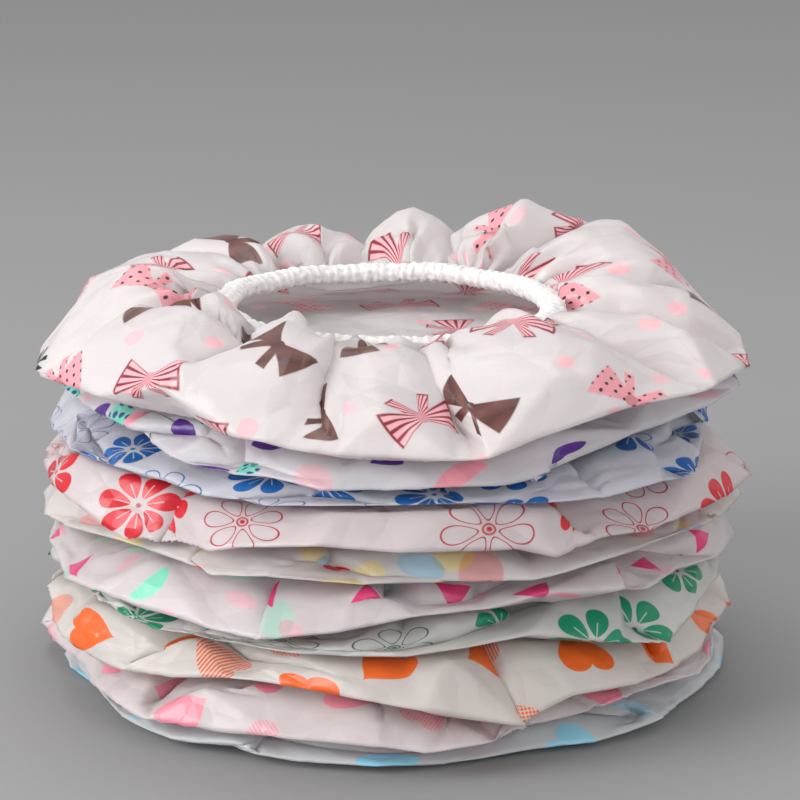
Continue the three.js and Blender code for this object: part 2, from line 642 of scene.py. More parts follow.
@dataclass(frozen=True)
class Bow(Motif):
    """A ribbon bow: spotted, striped, of dark satin or small and black."""

    half: float
    spotted: int = 0xF4A3AD
    striped: int = 0xF7B9BF
    line: int = 0x8E1F33
    satin: int = 0x57302B
    sheen: int = 0x8E5E55
    black: int = 0x262B2A
    striped_from: float = 0.36
    satin_from: float = 0.72
    small_from: float = 0.93
    smaller: float = 0.35
    soft: float = 0.04
    stripe_pitch: float = 0.25
    stripe: float = 0.05
    stripe_start: float = 0.12
    border: float = 1.07
    knot_wide: float = 0.024
    knot_tall: float = 0.03
    darker_knot: float = 0.35
    gleam: float = 0.9
    gleam_pitch: float = 0.55
    spot_pitch: tuple[float, float] = (5.0 * MM, 4.4 * MM)
    spot_radius: float = 0.85 * MM

    def draw(self, ink: Ink, spot: Spot, shown: Value) -> None:
        """Prints a bow in one of four ways.

        Args:
            ink: the print so far.
            spot: the place in the layout.
            shown: 1 where the spot holds a figure.
        """
        small = spot.choice.over(self.small_from)
        size = self.half * (1 - self.smaller * small)
        x = abs(spot.x) / size
        y = spot.y / size
        shape = self.outline(x, y) * shown
        knot = ((x * x) / self.knot_wide + (y * y) / self.knot_tall).within(1.0, 5 * self.soft) * shown
        graph = ink.graph
        dark = spot.choice.over(self.satin_from)
        lined = spot.choice.over(self.striped_from) * (1 - dark)
        dotted = 1 - spot.choice.over(self.striped_from)
        gleam = (x * 1.6 - y * 0.8).maths("PINGPONG", self.gleam_pitch)
        satin = graph.blend(colour(self.satin), colour(self.sheen), gleam * self.gleam)
        tint = graph.blend(colour(self.spotted), colour(self.striped), lined)
        tint = graph.blend(tint, satin, dark)
        tint = graph.blend(tint, colour(self.black), small)
        slant = y / (x + self.stripe_start)
        stripes = abs(slant.wrapped(self.stripe_pitch)).within(self.stripe, self.soft)
        rim = self.outline(x * self.border, y * self.border)
        ink.lay(shape, tint)
        ink.lay(shape * lined * stripes.larger(1 - rim), colour(self.line))
        ink.lay(shape * dotted * self.spots(spot), colour(self.black))
        ink.lay(knot, graph.blend(tint, colour(self.line), self.darker_knot * (1 - dark)))

    def outline(self, x: Value, y: Value) -> Value:
        """The two loops and the two tails of the bow.

        Args:
            x: the distance to either side, in half widths.
            y: the height, in half widths.

        Returns:
            1 inside the bow.
        """
        loop = abs(y - 0.1 * x).within(0.1 + 0.46 * x, self.soft)
        loop *= (x + 0.16 * y * y).within(0.98, self.soft)
        tail = abs(x + 0.62 * y - 0.04).within(0.12 - 0.06 * y, self.soft)
        tail *= (-y).within(0.86 - 0.35 * x, self.soft)
        return loop.larger(tail * (-y).over(0.0))

    def spots(self, spot: Spot) -> Value:
        """A pattern of small dark spots."""
        u = spot.x.wrapped(self.spot_pitch[0])
        v = spot.y.wrapped(self.spot_pitch[1])
        return u.hypot(v).within(self.spot_radius, EDGE)


@dataclass(frozen=True)
class Layer:
    """One figure scattered over the film: every spot of a sheared grid may hold one."""

    motif: Motif
    pitch: float
    share: float
    seed: float
    wander: float = 0.25
    shear: float = 0.41
    row_start: float = 0.7
    apart: tuple[float, float, float] = (31.7, 17.3, 5.9)

    def spread(self, graph: Graph, at: Value) -> tuple[Spot, Value]:
        """Works out the spot that a place on the film belongs to.

        Args:
            graph: the material's graph.
            at: the place on the flat film, in metres.

        Returns:
            The spot, and 1 where it holds a figure.
        """
        start = (self.seed, self.seed * self.row_start, 0.0)
        u, v, _ = graph.parts(graph.vector("ADD", graph.scaled(at, 1 / self.pitch), start))
        row = v.maths("FLOOR")
        cell = graph.joined(u + row * self.shear, v, self.seed)
        corner = graph.vector("FLOOR", cell)
        chances = self.chances(graph, corner)
        moves = graph.scaled(graph.vector("SUBTRACT", chances, (0.5, 0.5, 0.5)), self.wander)
        local = graph.vector("SUBTRACT", graph.vector("SUBTRACT", cell, corner), (0.5, 0.5, 0.0))
        local = graph.vector("SUBTRACT", local, moves)
        _, _, spin = graph.parts(chances)
        settings = {"rotation_type": "Z_AXIS"}
        turned = graph.value("ShaderNodeVectorRotate", settings, {"Vector": local, "Angle": spin * TURN})
        x, y, _ = graph.parts(graph.scaled(turned, self.pitch))
        others = self.chances(graph, graph.vector("ADD", corner, self.apart))
        choice, chance, tone = graph.parts(others)
        return Spot(x, y, choice, chance, tone), 1 - chance.over(self.share)

    @staticmethod
    def chances(graph: Graph, corner: Value) -> Value:
        """Three random numbers for a corner of the grid, as a colour."""
        return graph.value("ShaderNodeTexWhiteNoise", {"noise_dimensions": "3D"}, {0: corner}, "Color")


@dataclass(frozen=True)
class PrintDesign:
    """A print: the film's milky white, tinted towards its ink as painted light for light scattered
    through inked layers, and the figures on it, the later over the earlier.
    """

    film: int
    layers: tuple[Layer, ...]


# Each film colour is milky white with a tint towards its own ink: painted light, standing in for light
# scattered through the inked layers.
DESIGNS: Mapping[Print, PrintDesign] = {
    Print.SKY_HEART: PrintDesign(
        0xEDEFF1,
        (Layer(Heart(12 * MM, 0x8FD6EE, 0xBFE6F4), 44 * MM, 0.85, 3.0),),
    ),
    Print.ROSE_HEART: PrintDesign(
        0xF3EBEC,
        (Layer(Heart(11.5 * MM, 0xF58CA0, 0xF7B3BE), 43 * MM, 0.85, 11.0),),
    ),
    Print.ORANGE_HEART: PrintDesign(
        0xF3EEEA,
        (Layer(Heart(13 * MM, 0xF2641E, 0xF58A45), 46 * MM, 0.9, 5.0),),
    ),
    Print.GREEN_DAISY: PrintDesign(
        0xEFEFEC,
        (Layer(Daisy(19 * MM, 6, 0x12936A, 0x1B6B52), 50 * MM, 0.95, 7.0, 0.18),),
    ),
    Print.MINT_CONFETTI: PrintDesign(
        0xF3ECEE,
        (
            Layer(Pebble(11 * MM, 7 * MM, 0x85E2BF), 41 * MM, 0.75, 2.0),
            Layer(Wedge(5 * MM, 0xE8407F), 47 * MM, 0.7, 9.0),
            Layer(Pebble(9 * MM, 4 * MM, 0xF59DB2), 39 * MM, 0.6, 15.0),
        ),
    ),
    Print.SUNNY_CONFETTI: PrintDesign(
        0xF2EEEC,
        (
            Layer(Pebble(13 * MM, 9 * MM, 0xE32430), 52 * MM, 0.8, 4.0),
            Layer(Pebble(9 * MM, 6.5 * MM, 0xF4D51C), 43 * MM, 0.65, 8.0),
            Layer(Pebble(10 * MM, 6 * MM, 0x33B6DE), 49 * MM, 0.65, 13.0),
        ),
    ),
    Print.RED_DAISY: PrintDesign(
        0xF4EAEB,
        (Layer(Daisy(19 * MM, 7, 0xD9202F, 0xB9233A), 49 * MM, 0.95, 1.0, 0.18),),
    ),
    Print.BLUE_DAISY: PrintDesign(
        0xECECF3,
        (Layer(Daisy(18 * MM, 7, 0x0F63AE, 0x2C6CA8), 48 * MM, 0.95, 6.0, 0.18),),
    ),
    Print.GARDEN: PrintDesign(
        0xF0EDF1,
        (
            Layer(Pebble(14 * MM, 9 * MM, 0xF6A2B0), 56 * MM, 0.75, 12.0),
            Layer(Leaf(12 * MM, 6 * MM, 0x55268C, 0x3B5A50), 57 * MM, 0.8, 14.0),
            Layer(Bud(11 * MM, 8 * MM, 0x7BD8C2, 0x33457F), 61 * MM, 0.7, 10.0),
        ),
    ),
    Print.BOW: PrintDesign(
        0xF6F1F1,
        (
            Layer(Dot(4.6 * MM, 0xF7C3C9), 33 * MM, 0.6, 16.0),
            Layer(Bow(18 * MM), 53 * MM, 0.92, 17.0, 0.2),
        ),
    ),
}


@dataclass(frozen=True)
class FilmFinish:
    """Milky film, thin enough to let light through, with a print on it."""

    design: PrintDesign
    clear: float = 0.58
    printed: float = 0.88
    glow: float = 0.24
    roughness: float = 0.3
    dull: float = 0.75
    broad: float = 21.0
    broad_height: float = 7.0
    narrow: float = 52.0
    narrow_height: float = 2.4
    relief: float = 0.8 * MM
    strength: float = 0.8
    pleats: float = 84.0
    pleats_from: float = 198 * MM
    pleats_grow: float = 34 * MM
    drift: float = 16
    drift_scale: float = 12.0

    def material(self, name: str) -> bpy.types.Material:
        """Makes the film's material.

        Args:
            name: the material's name.

        Returns:
            The material, which reads the film's flat map.
        """
        graph = Graph(name)
        at = graph.value("ShaderNodeUVMap", {"uv_map": FLAT_MAP}, {})
        # The film's tint is painted light: milky white leaning towards the ink, for light scattered
        # through the inked layers.
        ink = Ink(graph, colour(self.design.film))
        for layer in self.design.layers:
            spot, shown = layer.spread(graph, at)
            layer.motif.draw(ink, spot, shown)
        alpha = self.clear + (self.printed - self.clear) * ink.cover
        sockets = {
            "Base Color": ink.colour,
            "Roughness": self.roughness,
            "Alpha": alpha,
            "Normal": self.wrinkles(graph, at),
        }
        front = graph.node("ShaderNodeBsdfPrincipled", {}, sockets)
        # The light let through takes the same painted tint.
        back = graph.node("ShaderNodeBsdfTranslucent", {}, {"Color": colour(self.design.film)})
        share = self.glow * (1 - self.dull * ink.cover)
        mixed = graph.node("ShaderNodeMixShader", {}, {0: share})
        graph.tree.links.new(front.outputs[0], mixed.inputs[1])
        graph.tree.links.new(back.outputs[0], mixed.inputs[2])
        return graph.finish(mixed)

    def wrinkles(self, graph: Graph, at: Value) -> Value:
        """Fine creases all over, and small pleats that run out from the binding.

        Args:
            graph: the material's graph.
            at: the place on the flat film, in metres.

        Returns:
            The normal for a shader.
        """
        settings = {"feature": "DISTANCE_TO_EDGE", "voronoi_dimensions": "2D"}
        broad = graph.value("ShaderNodeTexVoronoi", settings, {"Vector": at, "Scale": self.broad})
        narrow = graph.value("ShaderNodeTexVoronoi", settings, {"Vector": at, "Scale": self.narrow})
        x, y, _ = graph.parts(at)
        sockets = {"Vector": at, "Scale": self.drift_scale, "Detail": 1.0}
        drift = graph.value("ShaderNodeTexNoise", {}, sockets)
        wave = (y.maths("ARCTAN2", x) * self.pleats + drift * self.drift).maths("SINE")
        near = ((x.hypot(y) - self.pleats_from) / self.pleats_grow).larger(0.0)
        height = broad * self.broad_height + narrow * self.narrow_height + wave * near * near
        return graph.bump(height, self.strength, self.relief)


@dataclass(frozen=True)
class BindingFinish:
    """White crimped strip, with painted shade that darkens its pits."""

    tint: int = 0xEDEBEA
    # painted shade: the colour that the pits darken towards
    shade: int = 0xBDB7B6
    roughness: float = 0.85
    weave: float = 1300.0
    relief: float = 0.4 * MM
    strength: float = 0.5

    def material(self, name: str) -> bpy.types.Material:
        """Makes the strip's material, which reads the pit layer of its mesh: painted shade that darkens
        the colour in the pits.

        Args:
            name: the material's name.

        Returns:
            The material.
        """
        graph = Graph(name)
        pit = graph.value("ShaderNodeAttribute", {"attribute_name": PIT_SHADE_LAYER}, {}, "Fac")
        at = graph.value("ShaderNodeTexCoord", {}, {}, "Object")
        weave = graph.value("ShaderNodeTexNoise", {}, {"Vector": at, "Scale": self.weave, "Detail": 2.0})
        sockets = {
            # painted shade: the base colour darkens towards the shade colour where the pit layer is high
            "Base Color": graph.blend(colour(self.tint), colour(self.shade), pit),
            "Roughness": self.roughness,
            "Normal": graph.bump(weave, self.strength, self.relief),
        }
        return graph.finish(graph.node("ShaderNodeBsdfPrincipled", {}, sockets))


@dataclass(frozen=True)
class PlainFinish:
    """A matte colour with a faint mottle."""

    tint: int
    mottle: int
    roughness: float
    scale: float = 300.0

    def material(self, name: str) -> bpy.types.Material:
        """Makes the material.

        Args:
            name: the material's name.

        Returns:
            The material.
        """
        graph = Graph(name)
        at = graph.value("ShaderNodeTexCoord", {}, {}, "Object")
        patches = graph.value("ShaderNodeTexNoise", {}, {"Vector": at, "Scale": self.scale})
        sockets = {
            "Base Color": graph.blend(colour(self.tint), colour(self.mottle), patches),
            "Roughness": self.roughness,
        }
        return graph.finish(graph.node("ShaderNodeBsdfPrincipled", {}, sockets))


@dataclass(frozen=True)
class CapPlace:
    """Where one cap lies, as the frame has it, in metres."""

    kind: Print
    crown: float
    ring: float
    band: float
    inset: float = 1 * MM

    @classmethod
    def read(cls, kind: Print) -> "CapPlace":
        """Reads a cap's place from its nodes, to a hundredth of a millimetre.

        Args:
            kind: the cap's print.

        Returns:
            The height of its crown, and the radius and the height of its ring.
        """
        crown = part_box(kind.node("film"))[0].z
        low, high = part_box(kind.node("elastic"))
        edge = (high.x - low.x) / 2
        return cls(kind, round(crown, 5), round(edge - cls.inset, 5), round((low.z + high.z) / 2, 5))


@dataclass
class FilmDrape:
    """Gathers flat discs of film onto their rings, all caps of the stack at once."""

    places: Sequence[CapPlace]

    # The flat discs and their mesh.
    disc: float = 245 * MM
    inner: float = 36 * MM
    rows: int = 52
    columns: int = 240
    seed: int = 12
    ripple: float = 0.8 * MM
    ripple_lobes: tuple[int, ...] = (9, 14, 17, 19, 23, 37)
    ripple_bend: float = 10.0
    afloat: float = 4 * MM

    # The film: how stiff it is, and what pushes it.
    limp: float = 0.012
    stiff: float = 0.22
    facets: int = 140
    crease: float = 7 * MM
    gravity: float = 1.2
    pressure: float = 7.0
    slack: float = 0.4
    top_pressure: float = 7.0
    top_slack: float = 0.7
    full_from: float = 100 * MM

    # What a cap is pressed into: its seat, its lid and its outline.
    rim: float = 151.5 * MM
    sectors: int = 720
    sides: int = 10
    jitter: float = 0.33
    wider: float = 1.025
    uneven_rim: float = 0.026
    wave: float = 4.2 * MM
    sink: float = 2.5 * MM
    flare: float = 13 * MM
    crown_edge: float = 95 * MM
    slope: float = 35 * MM
    steepest: float = 1.5
    upper_from: float = 150 * MM
    gap: float = 0.6 * MM
    overlap: float = 1.0 * MM
    open_lid: float = 60 * MM
    open_wall: float = 100 * MM
    give: float = 0.3
    grip: float = 0.5

    # The gathering at the ring.
    bunches: int = 31
    gather_lobes: tuple[int, ...] = (3, 5, 8, 13)
    uneven: float = 0.2
    bunched: float = 0.55
    closest: float = 0.3
    taut: float = 0.985
    lift: float = 55 * MM

    # The run: its steps, and the shares of it at which a change starts and how long it takes.
    steps: int = 220
    passes: int = 6
    pace: float = 1 / 60
    drag: float = 0.97
    top_speed: float = 1.5
    gathering_for: float = 0.5
    closing_from: float = 0.45
    closing_for: float = 0.3
    easing_from: float = 0.6
    easing_for: float = 0.25

    def __post_init__(self) -> None:
        """Lays the discs out flat and draws the shapes that they are pressed between."""
        levels = [list(Print).index(p.kind) for p in self.places]
        chances = [np.random.default_rng((self.seed, level)) for level in levels]
        self.count = len(self.places)
        self.reach = np.linspace(self.inner, self.disc, self.rows).astype(np.float32)
        self.turn = (np.arange(self.columns) * TURN / self.columns).astype(np.float32)
        flat_x = self.reach[:, None] * np.cos(self.turn)
        flat_y = self.reach[:, None] * np.sin(self.turn)
        flat = np.stack([flat_x, flat_y], -1)
        self.points = np.zeros((self.count, self.rows, self.columns, 3), np.float32)
        self.points[..., :2] = flat
        self.points[..., 2] = self.each(chances, self.ripples)
        self.stiffness = self.each(chances, lambda rng: self.facet_stiffness(rng, flat))
        self.ring_turn = self.each(chances, self.gathering)
        self.seats = np.zeros((self.count + 1, self.sectors), np.float32)
        self.seats[:-1] = self.each(chances, self.creases) - self.sink
        self.seats[0] = 0
        self.wall = self.each(chances, self.outline)
        self.radial = self.reach[1] - self.reach[0]
        self.round = (2 * self.reach * np.sin(np.pi / self.columns))[:, None].astype(np.float32)
        slant = np.roll(flat[1:], -1, axis=1) - flat[:-1]
        self.slant = np.linalg.norm(slant, axis=-1)[:, :1].astype(np.float32)
        self.free = np.ones((self.rows, 1), np.float32)
        self.free[-1] = 0
        self.crowns = np.array([p.crown for p in self.places], np.float32)
        self.pitch = np.append(np.diff(self.crowns), np.float32(1.0))
        self.rings = np.array([p.ring for p in self.places], np.float32)
        self.bands = np.array([p.band for p in self.places], np.float32) - self.crowns
        self.top = np.array([p.kind is Print.BOW for p in self.places], np.float32)[:, None, None]

    @staticmethod
    def each(
        chances: Sequence[np.random.Generator], draw: Callable[[np.random.Generator], np.ndarray]
    ) -> np.ndarray:
        """One random shape for every cap, each from the cap's own chances."""
        return np.stack([draw(rng) for rng in chances]).astype(np.float32)

    def ripples(self, rng: np.random.Generator) -> np.ndarray:
        """Small random heights of a flat disc, from which the folds grow.

        Args:
            rng: the cap's chances.

        Returns:
            The height of every point.
        """
        height = np.zeros((self.rows, self.columns))
        for lobes in self.ripple_lobes:
            bend, shift, start = rng.uniform(0, TURN, 3)
            wave = np.cos(lobes * self.turn + start)
            height += wave * np.cos(self.ripple_bend * (1 + bend) * self.reach[:, None] + shift)
        return height * self.ripple + self.afloat

    def facet_stiffness(self, rng: np.random.Generator, flat: np.ndarray) -> np.ndarray:
        """How much film resists bending: stiff inside its facets, limp along the creases between.

        Args:
            rng: the cap's chances.
            flat: the places of the points on the flat disc.

        Returns:
            The stiffness of every point.
        """
        reach = np.sqrt(rng.uniform(0.1, 1.0, self.facets)) * self.disc
        turn = rng.uniform(0, TURN, self.facets)
        seeds = np.stack([reach * np.cos(turn), reach * np.sin(turn)], -1)
        gaps = np.linalg.norm(flat[:, :, None] - seeds, axis=-1)
        near = np.partition(gaps, 1, axis=2)
        depth = ((near[..., 1] - near[..., 0]) / self.crease).clip(0, 1)
        return self.limp + (self.stiff - self.limp) * depth**2

    def gathering(self, rng: np.random.Generator) -> np.ndarray:
        """The angle of every column at the ring, closer in some places than in others.

        Args:
            rng: the cap's chances.

        Returns:
            The angles, in order.
        """
        weight = np.ones(self.columns)
        for lobes in self.gather_lobes:
            size, start = rng.normal(size=2)
            weight += self.uneven * size * np.cos(lobes * self.turn + TURN * start)
        drift = rng.normal() * np.sin(3 * self.turn) * 2
        weight += self.bunched * np.cos(self.bunches * self.turn + drift)
        total = np.cumsum(np.maximum(weight, self.closest))
        angle = total / total[-1] * TURN
        return angle - angle.mean() + self.turn.mean()

    def corners(self, rng: np.random.Generator) -> np.ndarray:
        """Angles of the corners of an irregular polygon, in order."""
        steps = np.arange(self.sides) + rng.uniform(-self.jitter, self.jitter, self.sides)
        return steps * TURN / self.sides

    def sector_turns(self) -> np.ndarray:
        """The angle of every sector."""
        return np.arange(self.sectors) * TURN / self.sectors

    def outline(self, rng: np.random.Generator) -> np.ndarray:
        """The radius of an irregular polygon in every sector.

        Args:
            rng: the cap's chances.

        Returns:
            The radii, in order.
        """
        angle = self.corners(rng)
        radius = self.rim * (self.wider + self.uneven_rim * rng.normal(size=self.sides).clip(-1.5, 1.3))
        at = self.sector_turns()
        after = np.searchsorted(angle, at) % self.sides
        before = (after - 1) % self.sides
        gone = np.sin((at - angle[before]) % TURN)
        left = np.sin((angle[after] - at) % TURN)
        whole = np.sin((angle[after] - angle[before]) % TURN)
        height = radius[before] * left + radius[after] * gone
        return radius[before] * radius[after] * whole / (height + TINY)

    def creases(self, rng: np.random.Generator) -> np.ndarray:
        """The heights of the seat under a cap round its rim, straight from corner to corner.

        Args:
            rng: the cap's chances.

        Returns:
            The height in every sector.
        """
        angle = self.corners(rng)
        height = self.wave * rng.normal(size=self.sides).clip(-1.3, 1.3)
        return np.interp(self.sector_turns(), angle, height, period=TURN)

    @staticmethod
    def pull(
        near: np.ndarray, far: np.ndarray, rest: np.ndarray, share: float, weight: np.ndarray
    ) -> np.ndarray:
        """The move that brings pairs of points to their rest distance.

        Args:
            near: the first points.
            far: the second points.
            rest: the distance between them in flat film.
            share: the share of the error to mend.
            weight: how freely the two points move, added up.

        Returns:
            The move of the first points, which the second ones make the other way.
        """
        gap = far - near
        length = lengths(gap) + TINY
        gap *= (share * (length - rest) / length / np.maximum(weight, TINY))[..., None]
        return gap

    def mend_rows(self, first: int) -> None:
        """Mends the lengths between every second pair of rows, along the radius and both slants.

        Args:
            first: the first row of the first pair.
        """
        near = self.points[:, first : self.rows - 1 : 2]
        far = self.points[:, first + 1 : self.rows : 2]
        free_near = self.free[first : self.rows - 1 : 2]
        free_far = self.free[first + 1 : self.rows : 2]
        weight = free_near + free_far
        slant = self.slant[first : self.rows - 1 : 2]
        for shift, rest, share in ((0, self.radial, 1.0), (-1, slant, 0.5), (1, slant, 0.5)):
            move = self.pull(near, np.roll(far, shift, axis=2), rest, share, weight)
            near += move * free_near[..., None]
            far -= np.roll(move, -shift, axis=2) * free_far[..., None]

    def mend_rounds(self) -> None:
        """Mends the lengths round the disc, every second pair of columns at a time."""
        even = self.points[:, :, 0::2]
        odd = self.points[:, :, 1::2]
        free = self.free[..., None]
        weight = 2 * self.free
        move = self.pull(even, odd, self.round, 1.0, weight)
        even += move * free
        odd -= move * free
        move = self.pull(odd, np.roll(even, -1, axis=2), self.round, 1.0, weight)
        odd += move * free
        even -= np.roll(move, 1, axis=2) * free

    def smooth(self) -> None:
        """Takes a little of every bend out of the film."""
        share = (self.stiffness * self.free)[..., None]
        mean = (np.roll(self.points, 1, 2) + np.roll(self.points, -1, 2)) / 2
        self.points += share * (mean - self.points)
        mean = (self.points[:, 2:] + self.points[:, :-2]) / 2
        self.points[:, 1:-1] += share[:, 1:-1] * (mean - self.points[:, 1:-1])

    def normals(self) -> np.ndarray:
        """The film's normals, which point out of the caps."""
        across = np.roll(self.points, -1, 2) - np.roll(self.points, 1, 2)
        along = np.empty_like(self.points)
        along[:, 1:-1] = self.points[:, 2:] - self.points[:, :-2]
        along[:, 0] = self.points[:, 1] - self.points[:, 0]
        along[:, -1] = self.points[:, -1] - self.points[:, -2]
        out = np.cross(across, along)
        return out / (lengths(out)[..., None] + TINY)

    def press(self, before: np.ndarray, closed: float) -> None:
        """Keeps the film on its seat, under the next cap and inside its outline.

        Args:
            before: the points at the start of the step, which friction holds back to.
            closed: 0 while the caps are open, 1 once they are stacked.
        """
        x, y, z = np.moveaxis(self.points, -1, 0)
        radius = np.sqrt(x * x + y * y)
        sector = (np.arctan2(y, x) * (self.sectors / TURN)).astype(np.int32) % self.sectors
        ramp = np.clip((radius - self.crown_edge) / self.slope, 0, self.steepest)
        cap = np.arange(self.count)[:, None, None]
        seat = self.seats[cap, sector] * ramp
        lid = self.seats[cap + 1, sector] * ramp + self.pitch[cap]
        upper = (self.reach > self.upper_from)[None, :, None]
        layer = np.float32(self.gap) + np.float32(self.overlap) * upper
        low = seat + layer
        high = lid - layer + (1 - closed) * self.open_lid + self.top
        held = (z < low) | (z > high)
        z[:] = np.clip(z, low, np.maximum(low, high))
        rise = np.clip((z - seat) / np.maximum(lid - seat, MM), 0, 1)
        wall = self.wall[cap, sector] - self.flare * rise * (1 - self.top) + (1 - closed) * self.open_wall
        pushed = 1 - self.give * (1 - np.minimum(1, wall / (radius + TINY)))
        core = self.rings[:, None, None] * closed * upper
        pushed = np.maximum(pushed, core / (radius + TINY))
        grip = np.where(held, self.grip, 1.0)
        x[:] = before[..., 0] + (x * pushed - before[..., 0]) * grip
        y[:] = before[..., 1] + (y * pushed - before[..., 1]) * grip

    @staticmethod
    def eased(share: float) -> float:
        """A share from 0 to 1 that starts and ends slowly."""
        share = min(1.0, max(0.0, share))
        return share * share * (3 - 2 * share)

    def hold_rings(self, gathered: float, closed: float) -> None:
        """Puts the film's edge on its ring.

        Args:
            gathered: 0 for flat film, 1 once the edge is on the elastic.
            closed: 0 while the caps are open, 1 once they are stacked.
        """
        radius = self.disc * self.taut * (1 - gathered) + self.rings[:, None] * gathered
        angle = self.turn * (1 - gathered) + self.ring_turn * gathered
        lift = self.lift * math.sin(gathered * math.pi / 2)
        self.points[:, -1, :, 0] = radius * np.cos(angle)
        self.points[:, -1, :, 1] = radius * np.sin(angle)
        self.points[:, -1, :, 2] = (lift * (1 - closed) + self.bands * closed)[:, None]

    def run(self) -> np.ndarray:
        """Gathers the discs, then stacks them.

        Returns:
            The points of every cap, row and column, in the frame.
        """
        pace = np.float32(self.pace)
        speed = np.zeros_like(self.points)
        push = np.where(self.top > 0, self.top_pressure, self.pressure).astype(np.float32)
        slack = np.where(self.top > 0, self.top_slack, self.slack).astype(np.float32)
        full = (self.reach > self.full_from)[None, :, None]
        for step in range(self.steps):
            done = step / (self.steps - 1)
            gathered = self.eased(done / self.gathering_for)
            closed = self.eased((done - self.closing_from) / self.closing_for)
            let_out = min(1.0, max(0.0, (done - self.easing_from) / self.easing_for))
            air = push * full * (1 - slack * let_out)
            speed = speed * self.drag + self.normals() * (air * pace)[..., None]
            speed[..., 2] -= self.gravity * pace
            before = self.points.copy()
            self.points += speed * pace
            self.hold_rings(gathered, closed)
            for turn in range(self.passes):
                self.mend_rows(0)
                self.mend_rows(1)
                self.mend_rounds()
                self.smooth()
                if turn % 3 == 2:
                    self.press(before, closed)
            speed = (self.points - before) / pace
            speed *= np.minimum(1, self.top_speed / (lengths(speed)[..., None] + TINY))
        self.points[..., 2] += self.crowns[:, None, None]
        LOG.info("film gathered on %d rings", self.count)
        return self.points


